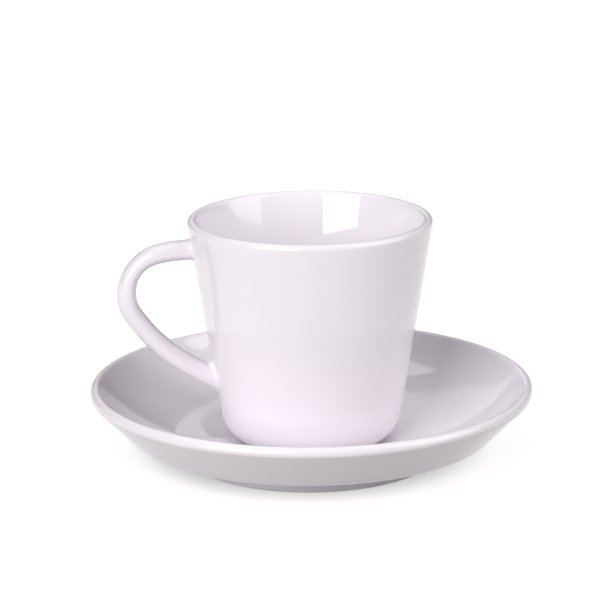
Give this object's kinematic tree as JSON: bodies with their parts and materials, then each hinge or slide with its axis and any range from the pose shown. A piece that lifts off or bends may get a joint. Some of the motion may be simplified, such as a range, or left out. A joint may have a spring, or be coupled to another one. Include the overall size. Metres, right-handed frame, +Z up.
{
  "type": "coffee cup with saucer",
  "caption": "White glazed coffee cup with straight leaning wall and bent bar handle, standing in a deep round saucer with a turned-up rim and a foot ring; the cup lifts off.",
  "frame": {"origin": "centre of the saucer's foot ring on the table, on the shared axis of cup and saucer", "axes": "+Z up along the axis of cup and saucer, handle along -X, the pictured side faces -Y"},
  "size_m": [0.1456, 0.1456, 0.0802],
  "materials": {
    "saucer_glaze": "white gloss glaze over porcelain, bare fired clay on the foot ring",
    "cup_glaze": "white gloss glaze over porcelain, bare fired clay on the foot ring",
    "handle_glaze": "white gloss glaze over porcelain"
  },
  "bodies": {
    "saucer": {"saucer": "saucer_glaze"},
    "cup": {"cup_body": "cup_glaze", "cup_handle": "handle_glaze"}
  },
  "joints": [
    {"name": "cup_lift", "type": "slide", "parent": "saucer", "child": "cup", "axis": [0, 0, 1], "range_m": [0, 0.08]}
  ]
}
